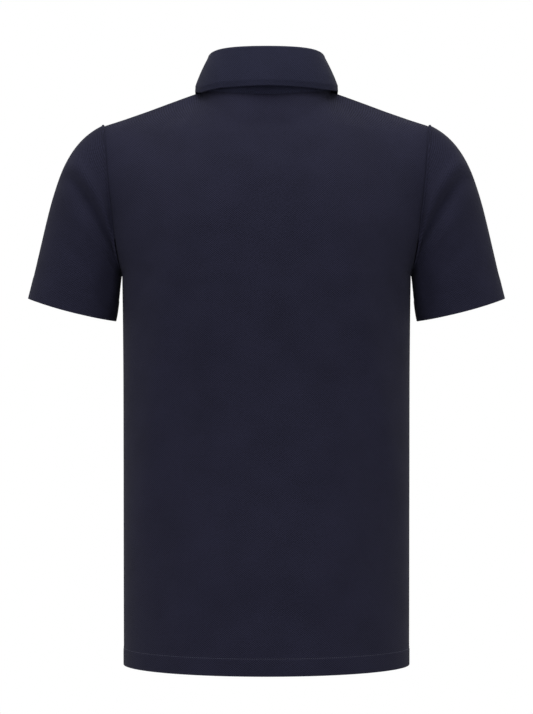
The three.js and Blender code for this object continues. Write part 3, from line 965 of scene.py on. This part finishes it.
def leaf():
    steps = [2 * s - 1 for s in spaced(LEAF_ROUND, 2.8)]
    near = (0, 0.12, 0.35, 0.7, 1.2, 1.9, 2.8, 4, 5.2, 6, 6.8, 8)
    ks = [-1 + i / 10 for i in range(10)] + spaced(LEAF_DROP, 1.9, near=near)
    grid = np.array([[leaf_point(s, k) for s in steps] for k in ks])
    across, up = lengths(grid, 1), lengths(grid, 0)
    hem = up[-1:] - up
    edge = np.minimum(hem, np.minimum(across, across[:, -1:] - across))
    groove = -0.7 * np.exp(-(((edge - LEAF_STITCH) / 1.2) ** 2))
    flare = 1.9 * np.clip((6.6 - hem) / 6.6, 0, 1) ** 0.8
    outer = flare + 0.3 * np.exp(-(((edge - 2.9) / 2.0) ** 2)) + groove - rounded(edge, 0.75)
    inner = flare - COLLAR_CLOTH + rounded(edge, 0.7)
    made = cloth("leaf", grid, -1, outer, inner, "collar_leaf", "collar_cloth", COLLAR_PIQUE)
    out = normals(grid, -1)
    # stitches down one front end, round the edge and up the other
    first = int(np.argmin(abs(across[-1] - LEAF_STITCH)))
    last = len(steps) - 1 - first
    end_rows = [i for i in range(len(ks)) if ks[i] >= 0.12 and hem[i, first] >= LEAF_STITCH]
    line, to = line_at(grid[::-1], out[::-1], hem[::-1], LEAF_STITCH, range(first, last + 1))
    line = [*grid[end_rows, first], *line, *grid[end_rows[::-1], last]]
    to = [*out[end_rows, first], *to, *out[end_rows[::-1], last]]
    thread("leaf_stitches", [(line, to)], slot="collar_cloth", radius=0.22, lift=-0.15)
    return made


stand_piece = stand()
leaf_piece = leaf()


# ---- Buttons -------------------------------------------------------------
def revolved(name, profile, turns):
    """A closed solid turned from a profile of (radius, height)."""
    points, faces = [], []
    for r, h in profile:
        for i in range(turns):
            a = 2 * math.pi * i / turns
            points.append((r * math.cos(a), r * math.sin(a), h))
    rows = len(profile)
    for k in range(rows - 1):
        for i in range(turns):
            j = (i + 1) % turns
            faces.append((k * turns + i, k * turns + j, (k + 1) * turns + j, (k + 1) * turns + i))
    faces.append(tuple(range(turns))[::-1])
    faces.append(tuple((rows - 1) * turns + i for i in range(turns)))
    mesh = bpy.data.meshes.new(name)
    mesh.from_pydata(points, [], faces)
    mesh.update()
    return mesh


def button_mesh():
    """A button with a raised rim, a dished face and four holes, in millimetres."""
    rim = [(4.6, 0), (5.1, 0.12), (5.45, 0.45), (5.6, 1.0), (5.58, 1.6), (5.4, 2.1), (5.05, 2.38)]
    dish = [(4.7, 2.4), (4.35, 2.25), (4.05, 1.95), (3.7, 1.75), (3.0, 1.62), (1.2, 1.55)]
    disc = bpy.data.objects.new("disc", revolved("disc", rim + dish, 48))
    bpy.context.collection.objects.link(disc)
    drills = []
    for i in range(4):
        a = math.pi / 2 * (i + 0.5)
        drill = bpy.data.objects.new("drill", revolved("drill", [(0.85, -2), (0.85, 5)], 20))
        drill.location = (1.7 * math.cos(a), 1.7 * math.sin(a), 0)
        bpy.context.collection.objects.link(drill)
        cut = disc.modifiers.new("cut", "BOOLEAN")
        cut.operation = "DIFFERENCE"
        cut.solver = "EXACT"
        cut.object = drill
        drills.append(drill)
    soft = disc.modifiers.new("soft", "BEVEL")
    soft.width = 0.12
    soft.segments = 2
    soft.angle_limit = math.radians(40)
    bpy.context.view_layer.update()
    shape = disc.evaluated_get(bpy.context.evaluated_depsgraph_get())
    mesh = bpy.data.meshes.new_from_object(shape)
    for obj in drills + [disc]:
        bpy.data.objects.remove(obj)
    return mesh


BUTTON_SHAPE = button_mesh()
BUTTON_SHAPE.transform(Matrix.Diagonal((MM, MM, MM, 1)))


HOLE_HALF = 7.6  # half a buttonhole's length
HOLE_STITCHES = 30


def sewing(node, point, out, side, rise):
    """Two strands across each pair of holes, and the worked buttonhole below."""
    points, faces = [], []
    for x in (-1.2, 1.2):
        for shift in (-0.18, 0.18):
            at = point + side * (x + shift) + out * 1.75
            capsule(points, faces, at, rise, out, 3.0, 0.2)
    along, wide = (side, rise) if node == "button_collar" else (rise, side)
    for i in range(HOLE_STITCHES):
        run = mix(-HOLE_HALF, HOLE_HALF, i / (HOLE_STITCHES - 1))
        for edge in (-0.75, 0.75):
            at = point + along * run + wide * edge - out * 0.15
            capsule(points, faces, at, wide, out, 1.5, 0.26)
    sewn("sewn_" + node, points, faces)


def button(node, point, out):
    mesh = BUTTON_SHAPE.copy()
    turn = Vector((0, 0, 1)).rotation_difference(Vector(out)).to_matrix().to_4x4()
    mesh.transform(turn)
    for v in mesh.vertices:
        v.co += Vector(point) * MM
    mesh.materials.clear()
    mesh.polygons.foreach_set("use_smooth", [True] * len(mesh.polygons))
    mesh.set_sharp_from_angle(angle=math.radians(50))
    piece("resin_" + node, mesh, RESIN, node)
    side, rise = (np.array(turn.to_3x3() @ Vector(axis)) for axis in ((1, 0, 0), (0, 1, 0)))
    sewing(node, np.array(point), np.array(out), side, rise)


BUTTON_HEIGHTS = (-106, -150)
for number, z in enumerate(BUTTON_HEIGHTS, 1):
    p, n = on_band(0, z)
    button(f"button_{number}", p + n * 0.5, n)
foot, fold = np.array(foot_at(1)), fold_at(1)
slope = fold - foot
normal = np.array([0, -slope[2], slope[1]]) / np.linalg.norm(slope[1:])
button("button_collar", foot + slope * 0.42 + normal * (COLLAR_CLOTH + SEAM + 3.4), normal)

# ---- Floor, world and lights ---------------------------------------------
FLOOR_RADIUS = 2200  # mm
FLOOR_Z = -1.42  # metres

floor_mesh = revolved("floor", [(FLOOR_RADIUS, -20), (FLOOR_RADIUS, 0)], 96)
floor_mesh.transform(Matrix.Translation((0, 0, FLOOR_Z)) @ Matrix.Diagonal((MM, MM, MM, 1)))
FLOOR, _, floor_shader, _ = speckled("floor_paint", 30, 2, (0.78, 0.78, 0.78), (0.82, 0.82, 0.82))
floor_shader.inputs["Roughness"].default_value = 0.8
floor_mesh.materials.append(FLOOR)
floor = bpy.data.objects.new("floor", floor_mesh)
bpy.context.collection.objects.link(floor)

world = bpy.data.worlds.new("studio")
bpy.context.scene.world = world
world.use_nodes = True
world.node_tree.nodes["Background"].inputs[0].default_value = (1, 1, 1, 1)
world.node_tree.nodes["Background"].inputs[1].default_value = 1.0
bpy.context.scene.view_settings.view_transform = "Standard"


def softbox(name, place, target, size, power):
    """A lit rectangle that faces its target, in metres and watts."""
    light = bpy.data.lights.new(name, "AREA")
    light.shape = "RECTANGLE"
    light.size, light.size_y = size
    light.energy = power
    obj = bpy.data.objects.new(name, light)
    obj.location = place
    obj.rotation_euler = (Vector(target) - Vector(place)).to_track_quat("-Z", "Y").to_euler()
    bpy.context.collection.objects.link(obj)


softbox("over", (0.1, 0.9, 2.3), (0, 0, -0.2), (2.4, 1.8), 102)
softbox("beside", (1.1, 3.0, 1.2), (0, 0, -0.1), (1.1, 1.4), 22)
softbox("front_side", (-0.9, -2.9, 1.3), (0, 0, -0.1), (1.6, 1.8), 24)
